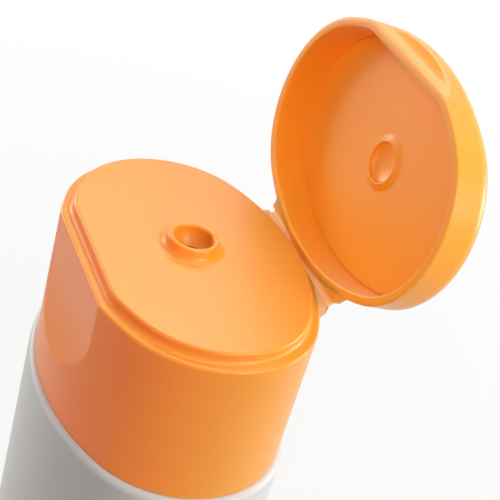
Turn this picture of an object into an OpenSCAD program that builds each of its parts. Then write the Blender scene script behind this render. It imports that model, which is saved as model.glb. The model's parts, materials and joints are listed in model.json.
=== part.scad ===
// Oval squeeze bottle with a snap-fit flip-top closure, lid drawn open.
// The bottle stands on the plane z = 0, the thumb side faces -Y and the hinge faces +Y.
// Every outline is one four-arc oval, stepped in or out by concentric arcs. Its four centres
// lie on 8-15-17 triangles, so that the arcs meet smoothly for any width and depth.

/* [Closure] */
// Width of the closure across its rounded ends
closure_w = 52; // [48:0.5:56]
// Depth of the closure from front to back
closure_d = 37; // [35.5:0.1:39]
// Height of the skirt, from the bottle's shoulder to the ledge
skirt_h = 23.5; // [21:0.5:28]
// Wall of the skirt
skirt_t = 1.5; // [1.2:0.1:1.8]
// Thickness of the deck
deck_t = 1.5; // [1.2:0.1:1.8]
// Height of the deck above the ledge that the lid shuts on
plateau_h = 1.8; // [1.2:0.1:2.4]
// Rounding of the ledge's outer edge
rim_edge_r = 0.5; // [0.2:0.1:0.8]
// Rounding of the deck's edge
plateau_edge_r = 0.7; // [0.3:0.1:1]

/* [Thumb recess] */
// Depth of the flat front, measured in from the oval
front_in = 1.75; // [1.4:0.05:2.2]
// Height of the flat part of the recess below the ledge
thumb_flat_h = 6.5; // [4:0.5:8]
// Radius that runs the recess out of the skirt
thumb_scoop_r = 26; // [18:1:32]
// Radius that runs the recess out of the lid
lid_scoop_r = 3; // [2.4:0.1:3.6]

/* [Orifice] */
// Bore that the lotion comes out of
orifice_d = 5.8; // [4.8:0.1:6.2]
// Height of the spout above the deck
boss_h = 2.5; // [1.8:0.1:2.6]
// Diameter of the flared mouth inside the lip
mouth_d = 6.8; // [6.5:0.1:7.4]
// Depth of the flare
mouth_h = 1.2; // [0.7:0.1:1.4]
// Rounding of the lip
lip_r = 0.3; // [0.2:0.05:0.4]
// Spread of the spout's foot beyond its lip
boss_spread = 0.35; // [0.1:0.05:0.6]
// Fillet between the spout and the deck
boss_fillet_r = 0.7; // [0.4:0.1:1]

/* [Lid] */
// Height of the lid
lid_h = 6.7; // [6.4:0.1:7.6]
// Thickness of the lid's top
lid_t = 1; // [0.8:0.1:1.4]
// Wall of the lid
lid_wall = 1.4; // [1.2:0.1:1.8]
// Rounding of the lid's outer top edge
lid_edge_r = 2.8; // [1.5:0.1:3]
// Gap between the lid's wall and the deck
lid_gap = 0.25; // [0.15:0.05:0.4]
// Gap left between the lid's rim and the ledge when shut
shut_gap = 0.1; // [0.05:0.01:0.15]
// How far the plug dips into the spout's mouth
plug_dip = 0.3; // [0.2:0.05:0.5]
// Gap round the plug's nose in the mouth
plug_gap = 0.15; // [0.1:0.05:0.2]
// Rounding of the plug's rim
plug_rim_r = 0.3; // [0.2:0.05:0.4]
// Spread of the plug's foot beyond its rim
plug_spread = 0.75; // [0.4:0.05:1]
// Depth of the dish in the plug's end
dish_h = 1.3; // [0.8:0.1:1.5]

/* [Hinge] */
// Angle of the lid from shut, as drawn
open_angle = 100.8; // [80:0.1:120]
// Width of the hinge strap
hinge_w = 25; // [18:0.5:28]
// Distance from the fold line in to the oval's rearmost point
hinge_in = 0.25; // [0.1:0.05:0.4]
// Height of the fold line above the ledge
hinge_lift = 0.2; // [0.1:0.05:0.3]
// Radius that the film folds to when the lid is shut
fold_r = 0.5; // [0.45:0.05:0.6]
// Thickness of the hinge film
film_t = 0.35; // [0.3:0.05:0.4]
// Depth of the hinge bars' straight back face
bar_h = 1.2; // [1.15:0.05:1.6]
// Radius of the relief between the bars and the curved walls
relief_r = 2; // [1.5:0.1:3]

/* [Bottle] */
// Height of the body, from the base to the shoulder
body_h = 107.5; // [80:0.5:140]
// How far the body stands out beyond the closure
body_proud = 0.9; // [0.7:0.1:1.4]
// Wall of the body
body_t = 1; // [0.8:0.1:1.4]
// Rounding of the shoulder's edge
shoulder_r = 1.2; // [0.8:0.1:1.8]
// Rounding of the base's edge
base_r = 4; // [3:0.5:5]
// Width of the base ring, from the rounded edge to the push-up
base_ring = 2; // [1.5:0.5:4]
// Height of the push-up in the base
push_h = 2; // [1.2:0.2:3]

/* [Neck] */
// Outer diameter of the neck
neck_d = 24; // [22:0.2:24.4]
// Wall of the neck
neck_t = 1.8; // [1.4:0.1:2.2]
// Height of the neck above the shoulder
neck_h = 16; // [14:0.5:18]
// How far the snap bead stands out of the neck
bead_out = 0.8; // [0.5:0.1:0.9]
// Drop from the neck's top to the snap bead
bead_drop = 4; // [3:0.5:5]
// Height of the bead's lead-in slope
bead_lead = 1.4; // [1:0.1:1.8]
// Height of the bead's crest
bead_land = 0.6; // [0.3:0.1:1]
// Height of the bead's catching underside
bead_back = 0.5; // [0.4:0.1:0.8]
// Width of the two lugs that keep the closure square
lug_w = 3; // [2:0.5:4]
// Length of a lug along the shoulder
lug_l = 3.5; // [2:0.5:4]
// Height of a lug
lug_h = 2.5; // [1.5:0.5:4]

/* [Inner sleeve] */
// Wall of the sleeve that snaps over the neck
sleeve_t = 1.2; // [1:0.1:1.3]
// Gap between the sleeve and the snap bead
sleeve_gap = 0.2; // [0.1:0.05:0.3]
// Gap between the sleeve's catch and the neck
catch_gap = 0.15; // [0.1:0.05:0.25]
// Height left between the sleeve and the shoulder
sleeve_clear = 3; // [2:0.5:5]
// Wall of the seal ring inside the neck
seal_t = 0.9; // [0.7:0.1:1.2]
// Gap between the seal ring and the neck's bore
seal_gap = 0.1; // [0.05:0.05:0.2]
// Overlap of the seal ring with the neck
seal_h = 3; // [2:0.5:4]
// Thickness of the ribs under the deck
rib_t = 1; // [0.8:0.1:1.4]
// Depth of the stiffening ribs
rib_h = 8; // [5:0.5:12]
// Direction of the stiffening ribs from the long axis
rib_angle = 38; // [30:1:45]
// Gap between a lug and its two guide ribs
lug_gap = 0.3; // [0.2:0.05:0.5]

/* [Hidden] */
$fn = 120;

half_w = closure_w / 2;
half_d = closure_d / 2;
end_c = 4 / 3 * (half_w - half_d);
side_c = 15 / 8 * end_c;
end_r = half_w - end_c;
side_r = half_d + side_c;
front_y = half_d - front_in;
far = 2 * closure_w;
// How far a cut runs past the surface that it opens
past = deck_t;

ledge_z = body_h + skirt_h;
deck_z = ledge_z + plateau_h;
under_z = deck_z - deck_t;
plateau_in = lid_wall + lid_gap;

mouth_r = mouth_d / 2;
orifice_r = orifice_d / 2;
spout_z = deck_z + boss_h;

lid_floor = lid_h - lid_t;
rim_z = ledge_z + shut_gap;
plug_z = spout_z - plug_dip;
plug_r = mouth_r - plug_gap;
dish_w = plug_r - 2 * plug_rim_r;

hinge_y = half_d - hinge_in;
hinge_z = ledge_z + hinge_lift;
bar_y = hinge_y - fold_r;
fold_turn = 180 - open_angle;
fold_open_r = fold_r * sqrt(1 + sin(open_angle)) / sin(fold_turn / 2);

neck_r = neck_d / 2;
bore_r = neck_r - neck_t;
neck_z = body_h + neck_h;
bead_z = neck_z - bead_drop;
sleeve_r = neck_r + bead_out + sleeve_gap;
seal_r = bore_r - seal_gap;
lug_x = (sleeve_r + sleeve_t + half_w - skirt_t) / 2;

// The share of the plane that a rounded end of the oval covers
module end_share() {
    reach = half_w / 4;
    polygon([[end_c, 0], [end_c + 8 * reach, -15 * reach], [end_c + 8 * reach, 15 * reach]]);
}

// The oval outline, stepped in by inset: where the two long sides' circles overlap,
// with the two points trimmed off by the rounded ends
module oval(inset = 0) {
    difference() {
        intersection() {
            translate([0, side_c]) circle(r = side_r - inset);
            translate([0, -side_c]) circle(r = side_r - inset);
        }
        for (s = [0, 180]) rotate(s) difference() {
            end_share();
            translate([end_c, 0]) circle(r = end_r - inset);
        }
    }
}

// The oval with its flat front, stepped in by inset
module flat_oval(inset) {
    intersection() {
        oval(inset);
        translate([-half_w, inset - front_y]) square([closure_w, closure_d]);
    }
}

// Sweeps scrap round the oval: the profile's x runs outwards from the outline, its y is height.
// A long side's ring is whole, because past the rounded end it runs outside the oval.
module oval_sweep(inset = 0) {
    for (s = [0, 180]) rotate(s) {
        intersection() {
            translate([end_c, 0, 0]) rotate_extrude() translate([end_r - inset, 0]) children();
            translate([0, 0, -far]) linear_extrude(4 * far) end_share();
        }
        translate([0, -side_c, 0]) rotate_extrude() translate([side_r - inset, 0]) children();
    }
}

// The scrap that is cut off to round an outer corner at height z: up = 1 for a top edge
module edge_scrap(z, r, up = 1) {
    translate([0, z]) scale([1, up]) difference() {
        translate([-r, -r]) square([r + past, r + past]);
        translate([-r, -r]) circle(r = r);
    }
}

// A bar along X, drawn as a profile of depth y and height z
module along_x(length) {
    translate([-length / 2, 0, 0]) rotate([90, 0, 90]) linear_extrude(length) children();
}

// Rounds the edge of a flat-fronted plate at height z, cut away from what it is taken from
module flat_edge_scrap(inset, z, r) {
    oval_sweep(inset) edge_scrap(z, r);
    along_x(far) translate([inset - front_y, 0]) mirror([1, 0]) edge_scrap(z, r);
}

// The space in front of the thumb recess, moved back into the wall by grow
module thumb_space(grow = 0) {
    along_x(far) {
        translate([-front_y - thumb_scoop_r, ledge_z - thumb_flat_h])
            circle(r = thumb_scoop_r + grow);
        translate([-front_y - thumb_scoop_r, ledge_z - thumb_flat_h])
            square([thumb_scoop_r + grow, far]);
    }
}

// The space behind the hinge bars, on the closure (up = -1) or the shut lid (up = 1)
module hinge_space(up) {
    z0 = up > 0 ? rim_z : ledge_z;
    along_x(far) translate([bar_y, z0]) scale([1, up]) {
        translate([0, -far]) square([far, far + bar_h]);
        translate([relief_r, bar_h]) circle(r = relief_r);
    }
}

// The straight bar that carries the film on a curved wall
module hinge_bar(up) {
    z0 = up > 0 ? rim_z : ledge_z;
    run = 2 * skirt_t;
    along_x(hinge_w) translate([bar_y, z0]) scale([1, up])
        polygon([[0, 0], [0, bar_h], [-run, bar_h + run], [-run, 0]]);
}

// The spout with its rounded lip and filleted foot, without its bore
module spout() {
    lip_y = boss_h - lip_r;
    foot_r = mouth_r + 2 * lip_r + boss_spread;
    translate([0, 0, deck_z]) rotate_extrude() {
        polygon([
            [0, -deck_t / 2],
            [foot_r, -deck_t / 2],
            [foot_r, boss_fillet_r / 2],
            [mouth_r + 2 * lip_r, lip_y],
            [0, lip_y]
        ]);
        translate([mouth_r + lip_r, lip_y]) circle(r = lip_r);
        difference() {
            translate([foot_r - lip_r, -deck_t / 2])
                square([boss_fillet_r + lip_r, boss_fillet_r + deck_t / 2]);
            translate([foot_r + boss_fillet_r, boss_fillet_r]) circle(r = boss_fillet_r);
        }
    }
}

// The bore through spout and deck, flared at the mouth
module orifice() {
    translate([0, 0, deck_z]) rotate_extrude() polygon([
        [0, -2 * deck_t],
        [orifice_r, -2 * deck_t],
        [orifice_r, boss_h - mouth_h],
        [mouth_r, boss_h - lip_r],
        [mouth_r, boss_h + past],
        [0, boss_h + past]
    ]);
}

// The sleeve that snaps over the neck, and the seal ring that plugs it
module neck_grip() {
    low_z = body_h + sleeve_clear;
    difference() {
        translate([0, 0, low_z]) cylinder(r = sleeve_r + sleeve_t, h = under_z - low_z + deck_t / 2);
        translate([0, 0, low_z - past]) cylinder(r = sleeve_r, h = skirt_h + past);
    }
    translate([0, 0, bead_z - catch_gap]) rotate_extrude() polygon([
        [sleeve_r + sleeve_t / 2, 0],
        [sleeve_r, 0],
        [neck_r + catch_gap, -bead_back],
        [neck_r + catch_gap, -bead_back - bead_land],
        [sleeve_r, -bead_back - bead_land - bead_lead],
        [sleeve_r + sleeve_t / 2, -bead_back - bead_land - bead_lead]
    ]);
    translate([0, 0, neck_z - seal_h]) rotate_extrude() polygon([
        [seal_r - seal_t, 0],
        [seal_r - seal_t / 2, 0],
        [seal_r, seal_t],
        [seal_r, under_z + deck_t / 2 - neck_z + seal_h],
        [seal_r - seal_t, under_z + deck_t / 2 - neck_z + seal_h]
    ]);
}

// Plain ribs under the deck, and the pairs that straddle the bottle's lugs
module ribs() {
    rib_y = lug_w / 2 + lug_gap + rib_t / 2;
    reach = half_w - sleeve_r - sleeve_t / 2;
    for (side = [0, 180], y = [-rib_y, rib_y]) rotate(side)
        translate([sleeve_r + sleeve_t / 2, y - rib_t / 2, body_h + lug_gap])
            cube([reach, rib_t, skirt_h]);
    for (side = [0, 1], front = [0, 1]) mirror([side, 0, 0]) mirror([0, front, 0])
        rotate(rib_angle)
            translate([sleeve_r + sleeve_t / 2, -rib_t / 2, under_z - rib_h])
                cube([half_w, rib_t, 2 * rib_h]);
}

// The hollow inside the skirt and under the deck
module skirt_hollow() {
    difference() {
        translate([0, 0, body_h - past]) linear_extrude(skirt_h - deck_t + past) oval(skirt_t);
        thumb_space(skirt_t);
    }
    translate([0, 0, ledge_z - 2 * deck_t]) linear_extrude(plateau_h + deck_t)
        flat_oval(plateau_in + deck_t);
}

// Skirt, ledge, deck and spout, moulded in one
module closure_base() {
    color([0.96, 0.6, 0.27]) difference() {
        union() {
            difference() {
                translate([0, 0, body_h]) linear_extrude(skirt_h) oval();
                thumb_space();
                flat_edge_scrap(0, ledge_z, rim_edge_r);
                hinge_space(-1);
            }
            hinge_bar(-1);
            difference() {
                translate([0, 0, ledge_z - deck_t / 2]) linear_extrude(plateau_h + deck_t / 2)
                    flat_oval(plateau_in);
                flat_edge_scrap(plateau_in, deck_z, plateau_edge_r);
            }
            spout();
        }
        skirt_hollow();
        orifice();
    }
    color([0.96, 0.6, 0.27]) {
        neck_grip();
        intersection() {
            ribs();
            union() {
                linear_extrude(ledge_z - deck_t / 2) oval(skirt_t / 2);
                linear_extrude(deck_z - deck_t / 2) flat_oval(plateau_in + deck_t / 2);
            }
        }
    }
}

// Turns what is drawn shut to the angle that the lid stands at
module swung() {
    translate([0, hinge_y, hinge_z]) rotate([-open_angle, 0, 0])
        translate([0, -hinge_y, -hinge_z]) children();
}

// The plug under the lid: a dished ring whose nose seats in the spout's mouth
module plug() {
    floor_z = rim_z + lid_floor;
    nose_z = plug_z + plug_rim_r;
    dish_r = (dish_w * dish_w + dish_h * dish_h) / (2 * dish_h);
    difference() {
        rotate_extrude() {
            polygon([
                [0, floor_z + lid_t / 2],
                [plug_r + plug_spread, floor_z + lid_t / 2],
                [plug_r + plug_spread, floor_z],
                [plug_r, nose_z],
                [plug_r - plug_rim_r, plug_z],
                [0, plug_z]
            ]);
            translate([plug_r - plug_rim_r, nose_z]) circle(r = plug_rim_r);
        }
        translate([0, 0, plug_z + dish_h - dish_r]) sphere(r = dish_r);
    }
}

// The lid: a shallow oval dish with its plug and its half of the hinge
module lid() {
    color([0.96, 0.6, 0.27]) swung() {
        difference() {
            union() {
                difference() {
                    translate([0, 0, rim_z]) linear_extrude(lid_h) oval();
                    oval_sweep() edge_scrap(rim_z + lid_h, lid_edge_r);
                    along_x(far) translate([-front_y - lid_scoop_r, rim_z])
                        circle(r = lid_scoop_r);
                    hinge_space(1);
                }
                hinge_bar(1);
            }
            translate([0, 0, rim_z - past]) linear_extrude(lid_floor + past)
                flat_oval(lid_wall);
        }
        plug();
    }
}

// The thin film that joins the two hinge bars, bent as far as the lid's angle leaves it
module hinge_film() {
    color([0.98, 0.72, 0.5])
        translate([-hinge_w / 2, bar_y, hinge_z - fold_r + fold_open_r])
            rotate([90, 0, 90]) rotate(-90)
                rotate_extrude(angle = fold_turn)
                    translate([fold_open_r - film_t / 2, 0]) square([film_t, hinge_w]);
}

// The pushed-up middle of the base, with a quarter-round edge, stepped out by grow
module push_up(grow = 0) {
    ring_in = base_r + base_ring - body_proud - grow;
    difference() {
        translate([0, 0, -past]) linear_extrude(push_h + grow + past) oval(ring_in);
        oval_sweep(ring_in) edge_scrap(push_h + grow, push_h + grow);
    }
}

// The inside of the bottle, up to the underside of the shoulder
module bottle_hollow() {
    inner = body_t - body_proud;
    difference() {
        translate([0, 0, body_t]) linear_extrude(body_h - 2 * body_t) oval(inner);
        oval_sweep(inner) edge_scrap(body_h - body_t, shoulder_r);
        oval_sweep(inner) edge_scrap(body_t, base_r - body_t, -1);
        push_up(body_t);
    }
    translate([0, 0, body_h / 2]) cylinder(r = bore_r, h = body_h);
}

// Blow-moulded body with a shoulder, a snap neck and a pushed-up base
module bottle() {
    color([0.93, 0.93, 0.92]) difference() {
        union() {
            difference() {
                linear_extrude(body_h) oval(-body_proud);
                oval_sweep(-body_proud) edge_scrap(body_h, shoulder_r);
                oval_sweep(-body_proud) edge_scrap(0, base_r, -1);
                push_up();
            }
            translate([0, 0, body_h - body_t / 2]) cylinder(r = neck_r, h = neck_h + body_t / 2);
            translate([0, 0, bead_z]) rotate_extrude() polygon([
                [bore_r + neck_t / 2, -bead_back],
                [neck_r, -bead_back],
                [neck_r + bead_out, 0],
                [neck_r + bead_out, bead_land],
                [neck_r, bead_land + bead_lead],
                [bore_r + neck_t / 2, bead_land + bead_lead]
            ]);
            for (s = [-1, 1]) translate([s * lug_x - lug_l / 2, -lug_w / 2, body_h - body_t / 2])
                cube([lug_l, lug_w, lug_h + body_t / 2]);
        }
        bottle_hollow();
    }
}

bottle();
closure_base();
hinge_film();
lid();
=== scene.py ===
import json
from math import acos, asin, copysign, cos, degrees, pi, radians, sin, sqrt, tan

import bmesh
import bpy
from mathutils import Matrix, Vector


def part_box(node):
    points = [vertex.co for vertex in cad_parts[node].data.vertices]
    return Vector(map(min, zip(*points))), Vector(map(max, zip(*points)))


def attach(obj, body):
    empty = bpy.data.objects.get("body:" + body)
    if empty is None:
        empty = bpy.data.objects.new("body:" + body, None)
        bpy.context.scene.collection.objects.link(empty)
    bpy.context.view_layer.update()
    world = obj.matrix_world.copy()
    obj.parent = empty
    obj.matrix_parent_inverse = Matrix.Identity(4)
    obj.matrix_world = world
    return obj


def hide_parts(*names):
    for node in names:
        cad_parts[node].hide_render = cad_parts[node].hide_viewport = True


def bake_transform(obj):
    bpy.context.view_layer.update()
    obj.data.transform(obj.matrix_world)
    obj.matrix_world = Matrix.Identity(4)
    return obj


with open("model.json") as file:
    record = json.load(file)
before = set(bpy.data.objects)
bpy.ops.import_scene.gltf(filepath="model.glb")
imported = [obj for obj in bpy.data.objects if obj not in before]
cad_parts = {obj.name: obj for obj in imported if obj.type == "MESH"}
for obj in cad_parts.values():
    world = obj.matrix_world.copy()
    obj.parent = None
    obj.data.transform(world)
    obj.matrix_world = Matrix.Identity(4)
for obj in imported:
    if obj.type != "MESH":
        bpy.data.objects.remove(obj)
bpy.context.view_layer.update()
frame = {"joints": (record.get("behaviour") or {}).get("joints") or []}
mm = 0.001
closureLow, closureHigh = [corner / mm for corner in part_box("closure_base")]
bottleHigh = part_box("bottle")[1] / mm
lidJoint = frame["joints"][0]
hingePoint = Vector(lidJoint["pos_m"]) / mm
openAngle = -lidJoint["range_deg"][0]
print("frame loaded, lid open by", round(openAngle, 1), "degrees")

# The outline that every piece shares: four arcs whose centres lie on 8-15-17 triangles.
# All sizes are millimetres until a piece is finished.
oval = {
    "halfWidth": closureHigh.x,
    "halfDepth": closureHigh.y,
    "front": 16.75,      # distance of the flat front from the centre
    "fineTurn": 20.0,    # degrees of the front arc that the thumb recess crosses
    "fineSteps": 90,     # close columns there, so that the recess keeps a clean edge
    "plainStep": 0.6,    # spacing of the other columns
}
oval["endCentre"] = 4 / 3 * (oval["halfWidth"] - oval["halfDepth"])
oval["sideCentre"] = 15 / 8 * oval["endCentre"]
oval["sideTurn"] = degrees(asin(8 / 17))
oval["endRadius"] = oval["halfWidth"] - oval["endCentre"]
oval["sideRadius"] = oval["halfDepth"] + oval["sideCentre"]

hinge = {
    "width": 25.0,
    "barBack": hingePoint.y - 0.5,   # back face of both bars
    "backSoftness": 0.02,
    "barHeight": 1.2,
    "barDepth": 2.6,
    "barCuts": 24,
    "barSlope": 1.0,                 # the bar's far side runs out into the wall at this slope
    "barEdge": 0.15,
    "barSeat": 0.02,                 # keeps the bar's faces off the pressed ones
    "relief": 2.0,                   # radius that runs the back face out into the wall
    "film": 0.35,                    # thickness
    "fold": 0.5,                     # radius of the film when the lid is shut
    "foldSteps": 16,
    "rootAbove": 0.4,                # the film thickens to this much over its middle plane at each bar
    "rootBelow": 0.7,                # and this much under it
    "rootInside": 0.3,               # length of each end that is inside its bar
    "waist": 0.6,                    # how far its ends draw in between the bars
}


# A profile starts at the front, where x is 0: (inset, height) is a corner, (inset, height, cuts) the end
# of a straight stretch with cuts in it, (inset, height, turn, steps) an arc about that point. The short
# flat stretch at an open end is where the profile's surface is bridged or filled.
def drawProfile(bm, path, base):
    known = set(bm.verts[:] + bm.edges[:])
    tip = bm.verts.new((0, base + path[0][0], path[0][1]))
    for inset, height, *more in path[1:]:
        spot = Vector((0, base + inset, height))
        if len(more) == 2:
            turn = Matrix.Rotation(radians(more[0] / more[1]), 3, "X")
            for step in range(more[1]):
                tip = bmesh.ops.extrude_vert_indiv(bm, verts=[tip])["verts"][0]
                bmesh.ops.rotate(bm, verts=[tip], cent=spot, matrix=turn)
            continue
        start, cuts = tip.co.copy(), more[0] if more else 0
        for step in range(cuts + 1):
            tip = bmesh.ops.extrude_vert_indiv(bm, verts=[tip])["verts"][0]
            tip.co = start.lerp(spot, (step + 1) / (cuts + 1))
    return [part for part in bm.verts[:] + bm.edges[:] if part not in known]


# Carries profiles round the right half of the oval and mirrors them
def sweepOval(bm, paths, insetLayer, fine=False):
    for path in paths:
        drawProfile(bm, path, -oval["halfDepth"])
    for vert in bm.verts:
        vert[insetLayer] = vert.co.y + oval["halfDepth"]
    edge = bm.verts[:] + bm.edges[:]
    side, end, step = oval["sideRadius"], oval["endRadius"], oval["plainStep"]
    fineTurn = oval["fineTurn"] if fine else 0
    arcs = [(0, oval["sideCentre"], fineTurn, oval["fineSteps"])] if fine else []
    for x, y, turn, radius in ((0, oval["sideCentre"], oval["sideTurn"] - fineTurn, side),
                               (oval["endCentre"], 0, 180 - 2 * oval["sideTurn"], end),
                               (0, -oval["sideCentre"], oval["sideTurn"], side)):
        arcs.append((x, y, turn, round(radians(turn) * radius / step)))
    for x, y, turn, steps in arcs:
        edge = bmesh.ops.spin(bm, geom=edge, cent=(x, y, 0), axis=(0, 0, 1), dvec=(0, 0, 0),
                              angle=radians(turn), steps=steps, use_duplicate=False)["geom_last"]
    bmesh.ops.mirror(bm, geom=bm.verts[:] + bm.edges[:] + bm.faces[:], axis="X", merge_dist=0.01)


# Turns a profile of (-radius, height) points about the vertical axis
def spinRound(bm, path, steps=96):
    profile = drawProfile(bm, path, 0)
    bmesh.ops.spin(bm, geom=profile, cent=(0, 0, 0), axis=(0, 0, 1), dvec=(0, 0, 0),
                   angle=2 * pi, steps=steps, use_merge=True, use_duplicate=False)


def openEdges(bm, height):
    return [edge for edge in bm.edges
            if edge.is_boundary and all(abs(vert.co.z - height) < 0.01 for vert in edge.verts)]


def bridgeAt(bm, height):
    bmesh.ops.bridge_loops(bm, edges=openEdges(bm, height))


def fillAt(bm, height):
    bmesh.ops.edgeloop_fill(bm, edges=openEdges(bm, height))


# The larger of two values, rounded where they meet
def softMax(a, b, width):
    overlap = max(width - abs(a - b), 0) / width
    return max(a, b) + overlap * overlap * width / 4


def addBlock(bm, low, high):
    corners = bmesh.ops.create_cube(bm, size=1)["verts"]
    low, high = Vector(low), Vector(high)
    bmesh.ops.scale(bm, verts=corners, vec=high - low)
    bmesh.ops.translate(bm, verts=corners, vec=(high + low) / 2)


# Merges, recalculates the normals, shades, scales to metres and hands the piece to the frame. The
# bottle's faces come out of this pointing inwards, and the other three pieces' outwards.
def finishPiece(bm, name, materials, node, body=None, sharp=42):
    bmesh.ops.remove_doubles(bm, verts=bm.verts, dist=0.002)
    bmesh.ops.recalc_face_normals(bm, faces=bm.faces)
    for face in bm.faces:
        face.smooth = True
    for edge in bm.edges:
        edge.smooth = edge.is_manifold and edge.calc_face_angle() < radians(sharp)
    bmesh.ops.scale(bm, verts=bm.verts, vec=(mm, mm, mm))
    mesh = bpy.data.meshes.new(name)
    openCount = sum(1 for edge in bm.edges if not edge.is_manifold)
    bm.to_mesh(mesh)
    bm.free()
    for material in materials:
        mesh.materials.append(material)
    piece = bpy.data.objects.new(name, mesh)
    bpy.context.scene.collection.objects.link(piece)
    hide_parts(node)
    if body:
        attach(piece, body)
    print(name, "has", len(mesh.polygons), "faces and", openCount, "open edges")
    return piece


# An sRGB colour in the linear values that shaders and lamps take
def hexColour(text):
    channels = [int(text[place:place + 2], 16) / 255 for place in (1, 3, 5)]
    return tuple(c / 12.92 if c < 0.04045 else ((c + 0.055) / 1.055) ** 2.4 for c in channels) + (1,)


def addNode(tree, kind, inputs, **settings):
    node = tree.nodes.new("ShaderNode" + kind)
    for name, value in settings.items():
        setattr(node, name, value)
    for name, value in inputs.items():
        if isinstance(value, bpy.types.NodeSocket):
            tree.links.new(value, node.inputs[name])
        else:
            node.inputs[name].default_value = value
    return node


def newMaterial(name):
    material = bpy.data.materials.new(name)
    material.use_nodes = True
    material.node_tree.nodes.clear()
    return material


# Polypropylene, injection moulded in a finely etched tool: a satin skin on a body that light enters
polypropylene = {
    "colour": "#fba025",
    "paler": "#fca82e",
    "roughness": 0.36,
    "ior": 1.5,
    "bloom": 0.16,          # pale veil that the fine etching gives at a low angle
    "bloomSpread": 0.4,
    "scatter": 0.5,
    "scatterRange": 1.1,    # millimetres that red light travels inside
    "scatterShare": (1.0, 0.3, 0.1),    # of that range for red, green and blue
    "flowMarks": 14.0,      # millimetres between the faint clouds of the melt
    "etching": 0.35,        # millimetres, drawn a little coarser than the tool's etching
    "etchingDepth": 0.004,
    "etchingStrength": 0.35,
}


def makePolypropylene(name, values):
    material = newMaterial(name)
    tree = material.node_tree
    place = addNode(tree, "TexCoord", {})
    clouds = addNode(tree, "TexNoise", {"Vector": place.outputs["Object"], "Detail": 2.0,
                                        "Scale": 1 / (values["flowMarks"] * mm), "Roughness": 0.5})
    tone = addNode(tree, "Mix", {0: clouds.outputs["Fac"], 6: hexColour(values["colour"]),
                                 7: hexColour(values["paler"])}, data_type="RGBA")
    grain = addNode(tree, "TexNoise", {"Vector": place.outputs["Object"], "Detail": 2.0,
                                       "Scale": 1 / (values["etching"] * mm)})
    skin = addNode(tree, "Bump", {"Height": grain.outputs["Fac"], "Strength": values["etchingStrength"],
                                  "Distance": values["etchingDepth"] * mm})
    shader = addNode(tree, "BsdfPrincipled", {
        "Base Color": tone.outputs[2],
        "Roughness": values["roughness"],
        "IOR": values["ior"],
        "Sheen Weight": values["bloom"],
        "Sheen Roughness": values["bloomSpread"],
        "Subsurface Weight": values["scatter"],
        "Subsurface Radius": values["scatterShare"],
        "Subsurface Scale": values["scatterRange"] * mm,
        "Normal": skin.outputs["Normal"],
    })
    addNode(tree, "OutputMaterial", {"Surface": shader.outputs["BSDF"]})
    return material


# Polyethylene, blow moulded: a white wax-like skin, less glossy than the closure and slightly wavy
polyethylene = {
    "colour": "#dbd9d7",
    "warmer": "#d7d5d2",
    "roughness": 0.42,
    "ior": 1.51,
    "scatter": 0.25,
    "scatterRange": 1.2,    # millimetres
    "scatterShare": (1.0, 0.9, 0.8),
    "waviness": 9.0,        # millimetres between the low waves that the blown wall has
    "wavinessDepth": 0.02,
    "wavinessStrength": 0.3,
}


def makePolyethylene(name, values):
    material = newMaterial(name)
    tree = material.node_tree
    place = addNode(tree, "TexCoord", {})
    waves = addNode(tree, "TexNoise", {"Vector": place.outputs["Object"], "Detail": 3.0,
                                       "Scale": 1 / (values["waviness"] * mm)})
    tone = addNode(tree, "Mix", {0: waves.outputs["Fac"], 6: hexColour(values["colour"]),
                                 7: hexColour(values["warmer"])}, data_type="RGBA")
    skin = addNode(tree, "Bump", {"Height": waves.outputs["Fac"], "Strength": values["wavinessStrength"],
                                  "Distance": values["wavinessDepth"] * mm})
    shader = addNode(tree, "BsdfPrincipled", {
        "Base Color": tone.outputs[2],
        "Roughness": values["roughness"],
        "IOR": values["ior"],
        "Subsurface Weight": values["scatter"],
        "Subsurface Radius": values["scatterShare"],
        "Subsurface Scale": values["scatterRange"] * mm,
        "Normal": skin.outputs["Normal"],
    })
    addNode(tree, "OutputMaterial", {"Surface": shader.outputs["BSDF"]})
    return material


orangePolypropylene = makePolypropylene("satinOrangePolypropylene", polypropylene)
# The base's hinge bar and the film, in a paler tint of the same plastic: painted highlight, standing for
# the light that the strap catches along its fold
paintedHighlightPolypropylene = makePolypropylene("hingePaintedHighlightPolypropylene",
                                        {**polypropylene, "colour": "#fec082", "paler": "#ffd09e"})
whitePolyethylene = makePolyethylene("satinWhitePolyethylene", polyethylene)
print("materials made")

# Closure base: skirt with its thumb recess, ledge, raised deck and spout
closure = {
    "wall": 1.5,
    "deckWall": 1.5,
    "footEdge": 0.15,
    "recessRows": 17.0,    # height below the ledge that has close rows, for the recess
    "recessCuts": 84,
    "plateau": 1.8,        # height of the deck above the ledge
    "plateauInset": 1.65,
    "rimEdge": 0.5,        # radii of the outer edge, the deck's edge and the corner between them
    "plateauEdge": 0.45,
    "ledgeFillet": 0.75,
    "spoutHeight": 2.5,    # of the solid, which tells where the deck is
    "shownSpout": 1.8,     # the photographed spout stands a little lower than its solid
    "mouth": 2.95,         # radius, as the orifice is
    "bowl": 3.0,           # radius of the bowl that leads from the lip to the orifice
    "orifice": 1.7,
    "lip": 0.45,
    "spoutSpread": 0.1,
    "spoutFillet": 1.1,
    "flatDepth": 6.5,      # height of the flat part of the recess below the ledge
    "scoop": 26.0,         # radius that runs the recess out
    "creaseSoftness": 0.05,
    "cornerSoftness": 0.5,
}
shoulder = closureLow.z
deck = closureHigh.z - closure["spoutHeight"]
ledge = deck - closure["plateau"]


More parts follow.
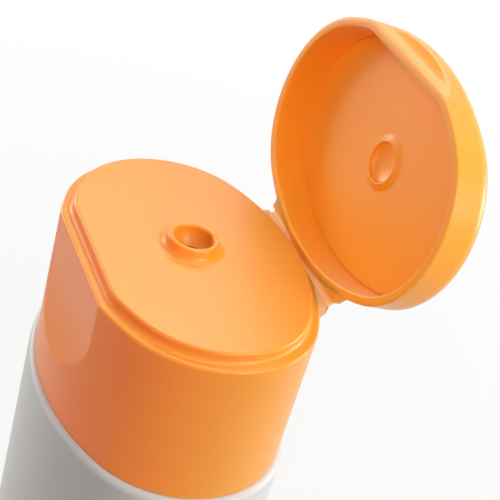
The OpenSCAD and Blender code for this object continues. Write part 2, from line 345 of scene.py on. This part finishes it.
# The flat front and its recess, pressed into the swept surface
def pressRecess(bm, insetLayer):
    flatLow = ledge - closure["flatDepth"]
    scoop = closure["scoop"]
    for vert in bm.verts:
        drop = max(flatLow - vert.co.z, 0)
        if drop >= scoop:
            continue
        back = scoop - sqrt(scoop * scoop - drop * drop)
        soft = closure["cornerSoftness"] if vert[insetLayer] > 1 else closure["creaseSoftness"]
        vert.co.y = softMax(vert.co.y, vert[insetLayer] - oval["front"] - back, soft)


# The straight back face that carries the hinge, with the relief below it
def pressHinge(bm, insetLayer, outer):
    for vert in bm.verts:
        depth = ledge - vert.co.z - hinge["barHeight"]
        if vert[insetLayer] > outer or depth > hinge["relief"]:
            continue
        back = hinge["barBack"]
        if depth > 0:
            back += hinge["relief"] - sqrt(hinge["relief"] ** 2 - depth * depth)
        vert.co.y = -softMax(-vert.co.y, -back, hinge["backSoftness"])


# The bar's inner side runs along the middle of the oval wall, so that it stays out of sight inside.
# It is built by itself and joined on, in the material slot that finish gives.
def addHingeBar(bm, edgeHeight, up, wall, finish):
    bar = bmesh.new()
    seat = hinge["barSeat"]
    half, back = hinge["width"] / 2, hinge["barBack"] + seat
    low, high = sorted((edgeHeight + seat * up, edgeHeight + hinge["barHeight"] * up))
    addBlock(bar, (-half, back - hinge["barDepth"], low), (half, back, high))
    longEdges = [edge for edge in bar.edges if abs(edge.verts[0].co.x - edge.verts[1].co.x) > half]
    bmesh.ops.subdivide_edges(bar, edges=longEdges, cuts=hinge["barCuts"], use_grid_fill=True)
    for vert in bar.verts:
        if vert.co.y < back - hinge["barDepth"] / 2:
            vert.co.y = sqrt(oval["sideRadius"] ** 2 - vert.co.x ** 2) - oval["sideCentre"] - wall / 2
            if (vert.co.z - edgeHeight) * up > hinge["barHeight"] / 2:
                vert.co.z += up * hinge["barSlope"] * (back - vert.co.y)
    backEdges = [edge for edge in bar.edges
                 if all(vert.co.y > back - 0.1 for vert in edge.verts) and edge.calc_face_angle(0) > 1]
    bmesh.ops.bevel(bar, geom=backEdges, offset=hinge["barEdge"], offset_type="OFFSET", segments=3,
                    profile=0.5, affect="EDGES", material=-1)
    for face in bar.faces:
        face.material_index = finish
    mesh = bpy.data.meshes.new("bar")
    bar.to_mesh(mesh)
    bar.free()
    bm.from_mesh(mesh)
    bpy.data.meshes.remove(mesh)


def makeClosureBase():
    bm = bmesh.new()
    insetLayer = bm.verts.layers.float.new("inset")
    wall, under = closure["wall"], deck - closure["deckWall"]
    inner = closure["plateauInset"] + closure["deckWall"]
    rim, fillet, top = closure["rimEdge"], closure["ledgeFillet"], closure["plateauEdge"]
    plateau, foot = closure["plateauInset"], closure["footEdge"]
    sweepOval(bm, [[
        (inner + 1, under),
        (inner, under),
        (inner, ledge - wall),
        (wall, ledge - wall),
        (wall, shoulder, 12),
        (foot, shoulder),
        (0, shoulder + foot),
        (0, ledge - closure["recessRows"], 8),
        (0, ledge - rim, closure["recessCuts"]),
        (rim, ledge - rim, -90, 6),
        (plateau - fillet, ledge),
        (plateau - fillet, ledge + fillet, 90, 5),
        (plateau, deck - top, 2),
        (plateau + top, deck - top, -90, 8),
        (plateau + top + 0.3, deck),
    ]], insetLayer, fine=True)
    pressRecess(bm, insetLayer)
    pressHinge(bm, insetLayer, rim + 0.01)
    lipOut = closure["mouth"] + 2 * closure["lip"]
    spoutFoot = lipOut + closure["spoutSpread"]
    lipLow = deck + closure["shownSpout"] - closure["lip"]
    fillet, bowl = closure["spoutFillet"], closure["bowl"]
    bowlTurn = degrees(acos((closure["orifice"] - closure["mouth"] + bowl) / bowl))
    spinRound(bm, [
        (-spoutFoot - fillet - 0.4, deck),
        (-spoutFoot - fillet, deck),
        (-spoutFoot - fillet, deck + fillet, 80, 7),
        (-lipOut, lipLow, 2),
        (-lipOut + closure["lip"], lipLow, -180, 10),
        (-closure["mouth"] + bowl, lipLow, bowlTurn, 14),
        (-closure["orifice"], under, 3),
    ])
    bridgeAt(bm, deck)
    bridgeAt(bm, under)
    # The bar goes in slot 1, the paler tint that paints the hinge's highlight
    addHingeBar(bm, ledge, -1, closure["wall"], 1)
    return finishPiece(bm, "closureBase", [orangePolypropylene, paintedHighlightPolypropylene],
                       "closure_base", "bottle")


# Lid, drawn shut and then swung open: dished inside, with the plug that closes the spout
lid = {
    "height": 6.7,
    "top": 1.0,            # thickness of the top
    "wall": 1.4,
    "edge": 2.8,           # radius between the wall and the top
    "rimEdge": 0.25,
    "groove": 0.34,        # narrow channel round the floor, which the photograph shows as a dark line
    "grooveDepth": 0.3,
    "shutGap": 0.1,        # between the shut lid and the ledge
    "scoop": 3.0,          # radius that runs the flat front out
    "plugFoot": 4.4,       # radius
    "plugFillet": 0.2,
    "plugSlope": 50,       # degrees
    "plugHeight": 0.55,
    "plugRim": 0.17,
    "dishHalf": 3.1,       # radius of the dish in the plug's middle
    "dishWall": 0.8,       # radius between the dish's wall and its floor
    "dishWallTurn": 72,    # degrees
    "creaseSoftness": 0.4,
    "cornerSoftness": 0.45,
}


# The lid's flat front: straight inside, and outside run out upwards by the scoop
def pressLidFront(bm, insetLayer, rimHeight):
    innerWall = lid["wall"] - lid["rimEdge"] - 0.01
    innerTop = rimHeight + lid["height"] - lid["top"] / 2
    for vert in bm.verts:
        inset = vert[insetLayer]
        if inset > innerWall and vert.co.z < innerTop:
            vert.co.y = softMax(vert.co.y, inset - oval["front"], lid["cornerSoftness"])
            continue
        rise = vert.co.z - rimHeight
        if rise < lid["scoop"]:
            back = lid["scoop"] - sqrt(lid["scoop"] ** 2 - rise * rise)
            vert.co.y = softMax(vert.co.y, inset - oval["front"] - back, lid["creaseSoftness"])


def makeLid():
    bm = bmesh.new()
    insetLayer = bm.verts.layers.float.new("inset")
    low = ledge + lid["shutGap"]
    high = low + lid["height"]
    floor = high - lid["top"]
    wall, rim, edge, groove = lid["wall"], lid["rimEdge"], lid["edge"], lid["groove"]
    sweepOval(bm, [[
        (wall + groove + 0.4, floor),
        (wall + groove, floor),
        (wall + groove / 2, floor + lid["grooveDepth"]),
        (wall, floor),
        (wall, low + rim, 8),
        (wall - rim, low + rim, -90, 4),
        (rim, low),
        (rim, low + rim, -90, 4),
        (0, low + lid["scoop"], 16),
        (0, high - edge),
        (edge, high - edge, -90, 14),
        (edge + 0.5, high),
    ]], insetLayer, fine=True)
    pressLidFront(bm, insetLayer, low)
    foot, rimRadius, slope = lid["plugFoot"], lid["plugRim"], lid["plugSlope"]
    rimHeight = floor - lid["plugHeight"] + rimRadius
    rimTurn = radians(slope)
    dishWall, dishTurn = lid["dishWall"], radians(lid["dishWallTurn"])
    bottomHalf = lid["dishHalf"] - dishWall + dishWall * cos(dishTurn)
    bottomLow = rimHeight + dishWall * sin(dishTurn)
    spinRound(bm, [
        (-foot - 0.3, floor),
        (-foot, floor),
        (-foot, floor - lid["plugFillet"], -slope, 4),
        (-lid["dishHalf"] - rimRadius - rimRadius * sin(rimTurn), rimHeight - rimRadius * cos(rimTurn), 2),
        (-lid["dishHalf"] - rimRadius, rimHeight, 90 + slope, 9),
        (-lid["dishHalf"] + dishWall, rimHeight, -lid["dishWallTurn"], 10),
        (0, bottomLow - bottomHalf * tan(dishTurn), lid["dishWallTurn"] - 90, 10),
    ])
    bridgeAt(bm, floor)
    fillAt(bm, high)
    addHingeBar(bm, low, 1, lid["wall"], 0)
    bmesh.ops.rotate(bm, verts=bm.verts, cent=hingePoint,
                     matrix=Matrix.Rotation(radians(-openAngle), 3, "X"))
    return finishPiece(bm, "lid", [orangePolypropylene], "lid", "lid")


# The film grows thicker towards its root at each bar, and its ends draw in between the two
def shapeFilm(bm, back, low, openRadius, turn):
    for vert in bm.verts:
        if vert.co.y < back - hinge["rootInside"] / 2:
            continue
        pivot = Vector((vert.co.x, back, low + openRadius))
        arm = vert.co - pivot
        root = abs(2 * degrees(arm.angle((0, 0, -1))) / turn - 1) ** 3
        above = arm.length < openRadius
        reach = hinge["rootAbove"] if above else -hinge["rootBelow"]
        side = hinge["film"] / 2 if above else -hinge["film"] / 2
        arm.length = openRadius - side - (reach - side) * root
        pivot.x -= copysign(hinge["waist"] * (1 - root), pivot.x)
        vert.co = pivot + arm


# Hinge film: a thin strap that leaves one bar's back face and bends up to the other's
def makeHingeFilm():
    bm = bmesh.new()
    turn = 180 - openAngle
    openRadius = hinge["fold"] * sqrt(1 + sin(radians(openAngle))) / sin(radians(turn / 2))
    low = hingePoint.z - hinge["fold"]
    half, thick, back = hinge["width"] / 2, hinge["film"], hinge["barBack"]
    addBlock(bm, (-half, back - hinge["rootInside"], low - thick / 2), (half, back, low + thick / 2))
    first = [face for face in bm.faces if face.calc_center_median().y > back - 0.01]
    turned = bmesh.ops.spin(bm, geom=first, cent=(0, back, low + openRadius), axis=(1, 0, 0),
                            dvec=(0, 0, 0), angle=radians(turn), steps=hinge["foldSteps"],
                            use_duplicate=False)
    shapeFilm(bm, back, low, openRadius, turn)
    last = [part for part in turned["geom_last"] if isinstance(part, bmesh.types.BMFace)]
    grown = bmesh.ops.extrude_face_region(bm, geom=last)
    bmesh.ops.delete(bm, geom=first + last, context="FACES_ONLY")
    grownVerts = [part for part in grown["geom"] if isinstance(part, bmesh.types.BMVert)]
    inwards = Vector((0, cos(radians(turn)), sin(radians(turn))))
    bmesh.ops.translate(bm, verts=grownVerts, vec=inwards * hinge["rootInside"])
    # The film takes the paler tint that paints the highlight along its fold
    piece = finishPiece(bm, "hingeFilm", [paintedHighlightPolypropylene], "hinge_film")
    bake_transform(piece)
    return piece


# Bottle: blow-moulded body with a shoulder, a neck inside the closure and a pushed-up base
bottle = {
    "proud": 0.9,          # how far the body stands out past the closure
    "wall": 1.0,           # under the shoulder, growing to about 2 at the base
    "shoulderEdge": 1.2,
    "baseEdge": 4.0,
    "baseRing": 2.0,       # width of the flat ring that the bottle stands on
    "push": 2.0,           # height of the pushed-up middle of the base
    "neck": 12.0,          # radius, as the bore is
    "bore": 10.2,
    "neckEdge": 0.3,
    "bead": 0.8,           # how far the snap bead stands out of the neck
    "beadDrop": 4.0,       # from the neck's top
    "beadBack": 0.5,       # heights of its short underside, its flat face and its long upper slope
    "beadLand": 0.6,
    "beadLead": 1.4,
}


def makeBottle():
    bm = bmesh.new()
    insetLayer = bm.verts.layers.float.new("inset")
    out, wall, edge, base = -bottle["proud"], bottle["wall"], bottle["shoulderEdge"], bottle["baseEdge"]
    ring, push = base + bottle["baseRing"] + out, bottle["push"]
    neckTop = bottleHigh.z
    sweepOval(bm, [[
        (ring + push + 1, push),
        (ring + push, push),
        (ring + push, 0, 90, 8),
        (base + out, 0, 1),
        (base + out, base, -90, 12),
        (out, shoulder - edge, 24),
        (out + edge, shoulder - edge, -90, 10),
        (out + edge + 1.5, shoulder, 1),
    ], [
        (ring + push + 1, push + wall),
        (ring + push, push + wall),
        (ring + push, 0, 70, 8),
        (out + wall + 1, wall + 1.2),
        (out + wall, shoulder - wall - edge, 6),
        (out + wall + edge, shoulder - wall - edge, -90, 6),
        (out + wall + edge + 1.5, shoulder - wall),
    ]], insetLayer)
    neck, bore, edge = bottle["neck"], bottle["bore"], bottle["neckEdge"]
    bead, land = neckTop - bottle["beadDrop"], bottle["beadLand"]
    spinRound(bm, [
        (-neck, shoulder),
        (-neck, bead - bottle["beadBack"]),
        (-neck - bottle["bead"], bead),
        (-neck - bottle["bead"], bead + land),
        (-neck, bead + land + bottle["beadLead"]),
        (-neck, neckTop - edge),
        (-neck + edge, neckTop - edge, -90, 4),
        (-bore - edge, neckTop),
        (-bore - edge, neckTop - edge, -90, 4),
        (-bore, shoulder - wall, 4),
    ])
    fillAt(bm, push)
    fillAt(bm, push + wall)
    bridgeAt(bm, shoulder)
    bridgeAt(bm, shoulder - wall)
    return finishPiece(bm, "bottleBody", [whitePolyethylene], "bottle", "bottle")


closureBase = makeClosureBase()
lidPiece = makeLid()
hingeFilm = makeHingeFilm()
bottleBody = makeBottle()
print("pieces made")

# Studio: pale floor, soft lamps and a world that is white to the camera and to reflections
studio = {
    "ambient": 0.25,
    "ambientTint": "#fff7f0",
    "floorGrey": 0.35,       # what the floor sends back to the object
    "floorPale": 0.8,        # what the camera sees of it near the object, with the shadow
    "shadowShare": 0.5,
    "shadowReach": (0.05, 0.4),   # metres over which the floor turns plain white
    "floorDrop": 0.1,        # millimetres below the bottle's ring
    "floorSize": 8.0,        # metres
}
cameraView = {
    "azimuth": 60.54,
    "elevation": 32.07,
    "roll": 16.77,
    "distance": 189.9,       # millimetres, as the target is
    "target": (-1.56, 10.41, 131.0),
    "focalPixels": 1259.0,   # focal length, fitted to the photograph
    "imageWidth": 500,       # pixels
    "sensorWidth": 36,
    "clipStart": 0.01,       # metres
}
lamps = {
    "topLamp": {"azimuth": 120, "elevation": 80, "power": 1.3},
    "rightLamp": {"azimuth": 117, "elevation": 28, "power": 2.9},
    "rightStrip": {"azimuth": 172, "elevation": 0, "power": 1.4, "distance": 0.6, "size": 0.22},
    "backLamp": {"azimuth": 240, "elevation": 50, "power": 1.8},
    "leftLamp": {"azimuth": -65, "elevation": 8, "power": 1.7, "size": 0.3},
    # Each fill lights its own pieces only: the photographed plastic glows more than the shader's
    "skirtFill": {"azimuth": 22, "elevation": -5, "power": 2.3, "colour": "#ff3a08",
                  "pieces": [closureBase]},
    "lidFill": {"azimuth": 45, "elevation": 30, "power": 2.0, "colour": "#fff0cc",
                "pieces": [lidPiece, hingeFilm]},
    "bottleFill": {"azimuth": 325, "elevation": 0, "power": 1.0, "pieces": [bottleBody]},
}


# Azimuth 0 looks at the front, with the object's +X to the right
def viewAxes(azimuth, elevation):
    a, e = radians(azimuth), radians(elevation)
    back = Vector((sin(a) * cos(e), -cos(a) * cos(e), sin(e)))
    right = Vector((cos(a), sin(a), 0))
    return right, back.cross(right), back


def addCamera():
    right, up, back = viewAxes(cameraView["azimuth"], cameraView["elevation"])
    roll = radians(cameraView["roll"])
    turnedRight = right * cos(roll) + up * sin(roll)
    turnedUp = up * cos(roll) - right * sin(roll)
    data = bpy.data.cameras.new("camera")
    data.sensor_width = cameraView["sensorWidth"]
    data.lens = cameraView["focalPixels"] * data.sensor_width / cameraView["imageWidth"]
    data.clip_start = cameraView["clipStart"]
    camera = bpy.data.objects.new("camera", data)
    bpy.context.scene.collection.objects.link(camera)
    camera.matrix_world = Matrix((turnedRight, turnedUp, back)).transposed().to_4x4()
    camera.location = (Vector(cameraView["target"]) + back * cameraView["distance"]) * mm
    bpy.context.scene.camera = camera


# A soft square lamp that looks at the closure from an azimuth and elevation, distance and size in metres.
# A fill lamp is kept to some of the pieces.
def addLamp(name, azimuth, elevation, power, distance=0.7, size=0.4, colour="#ffffff", pieces=()):
    right, up, back = viewAxes(azimuth, elevation)
    data = bpy.data.lights.new(name, "AREA")
    data.size = size
    data.energy = power
    data.color = hexColour(colour)[:3]
    lamp = bpy.data.objects.new(name, data)
    bpy.context.scene.collection.objects.link(lamp)
    lamp.matrix_world = Matrix((right, up, back)).transposed().to_4x4()
    lamp.location = Vector((0, 0, ledge * mm)) + back * distance
    if pieces:
        lit = bpy.data.collections.new(name + "Pieces")
        for piece in pieces:
            lit.objects.link(piece)
        lamp.light_linking.receiver_collection = lit


# 1 where the camera or a reflection sees the backdrop, 0 where it only lights the object
def addSeen(tree):
    path = addNode(tree, "LightPath", {})
    seen = addNode(tree, "Math", {0: path.outputs["Is Camera Ray"], 1: path.outputs["Is Glossy Ray"]},
                   operation="MAXIMUM")
    seen = addNode(tree, "Math", {0: seen.outputs[0], 1: path.outputs["Is Transmission Ray"]},
                   operation="MAXIMUM")
    return seen.outputs[0]


def addWorld():
    world = bpy.data.worlds.new("studio")
    world.use_nodes = True
    tree = world.node_tree
    tree.nodes.clear()
    dim = addNode(tree, "Background", {"Color": hexColour(studio["ambientTint"]),
                                       "Strength": studio["ambient"]})
    white = addNode(tree, "Background", {"Color": (1, 1, 1, 1), "Strength": 1.0})
    mixed = addNode(tree, "MixShader", {0: addSeen(tree), 1: dim.outputs[0], 2: white.outputs[0]})
    addNode(tree, "OutputWorld", {"Surface": mixed.outputs[0]})
    bpy.context.scene.world = world


# Near the object the camera sees paint with its shadow, and further off plain white
def addFloor():
    bm = bmesh.new()
    bmesh.ops.create_grid(bm, x_segments=1, y_segments=1, size=studio["floorSize"] / 2)
    bmesh.ops.translate(bm, verts=bm.verts, vec=(0, 0, -studio["floorDrop"] * mm))
    mesh = bpy.data.meshes.new("floor")
    bm.to_mesh(mesh)
    bm.free()
    floor = bpy.data.objects.new("floor", mesh)
    bpy.context.scene.collection.objects.link(floor)
    material = newMaterial("whiteStudioFloor")
    tree = material.node_tree
    grey, pale = studio["floorGrey"], studio["floorPale"]
    near, far = studio["shadowReach"]
    place = addNode(tree, "TexCoord", {})
    away = addNode(tree, "VectorMath", {0: place.outputs["Object"]}, operation="LENGTH")
    share = addNode(tree, "MapRange", {"Value": away.outputs["Value"], "From Min": near, "From Max": far,
                                       "To Min": 1 - studio["shadowShare"], "To Max": 1.0},
                    interpolation_type="SMOOTHSTEP")
    paint = addNode(tree, "BsdfDiffuse", {"Color": (grey, grey, grey, 1)})
    palePaint = addNode(tree, "BsdfDiffuse", {"Color": (pale, pale, pale, 1)})
    glow = addNode(tree, "Emission", {"Color": (1, 1, 1, 1), "Strength": 1.0})
    shown = addNode(tree, "MixShader", {0: share.outputs["Result"], 1: palePaint.outputs[0],
                                        2: glow.outputs[0]})
    mixed = addNode(tree, "MixShader", {0: addSeen(tree), 1: paint.outputs[0], 2: shown.outputs[0]})
    addNode(tree, "OutputMaterial", {"Surface": mixed.outputs[0]})
    mesh.materials.append(material)


addCamera()
addWorld()
addFloor()
for name, values in lamps.items():
    addLamp(name, **values)
bpy.context.scene.view_settings.view_transform = "Standard"
print("studio made")
